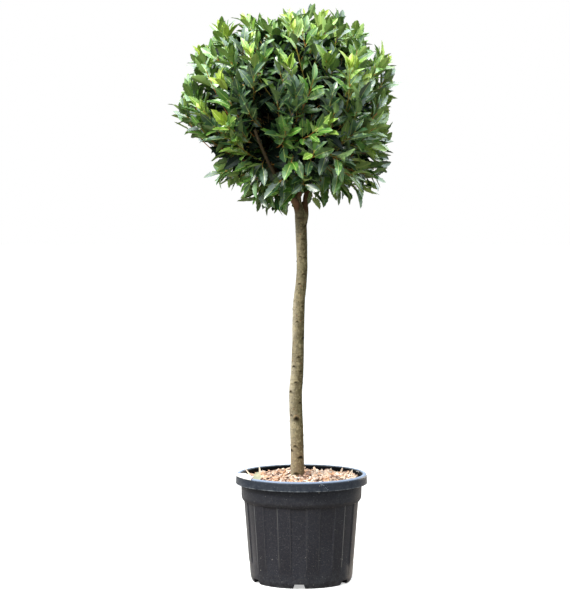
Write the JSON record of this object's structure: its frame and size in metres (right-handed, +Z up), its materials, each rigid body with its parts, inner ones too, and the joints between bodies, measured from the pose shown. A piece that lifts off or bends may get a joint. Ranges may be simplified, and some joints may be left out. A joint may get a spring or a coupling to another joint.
{
  "type": "standard bay topiary in a nursery pot",
  "caption": "Standard bay tree with a clipped ball of glossy leaves on a clear, gently bent stem, in a black ribbed nursery pot topped with wood chips.",
  "frame": {"origin": "middle of the pot's underside, at the ground", "axes": "+Z up along the pot and stem, front towards -Y, +X to the right of the front view"},
  "size_m": [0.6787, 0.6164, 1.654],
  "materials": {
    "pot": "satin charcoal, lightly scuffed",
    "compost": "matt, crumbly",
    "wood_chip": "matt, rough",
    "label": "blank, satin",
    "bark": "matt, smooth young bark with knots",
    "leaves": "glossy upper side, paler matt underside"
  },
  "bodies": {
    "root": {"pot": "pot", "root_ball": "compost", "mulch": "wood_chip", "label": "label", "trunk": "bark", "bough_top": "bark", "bough_upper_left": "bark", "bough_upper_right": "bark", "bough_upper_back": "bark", "bough_lower_left": "bark", "bough_lower_front": "bark", "bough_lower_right": "bark", "bough_lower_back": "bark", "foliage_top": "leaves", "foliage_upper_left": "leaves", "foliage_upper_right": "leaves", "foliage_upper_back": "leaves", "foliage_lower_left": "leaves", "foliage_lower_front": "leaves", "foliage_lower_right": "leaves", "foliage_lower_back": "leaves"}
  },
  "joints": []
}
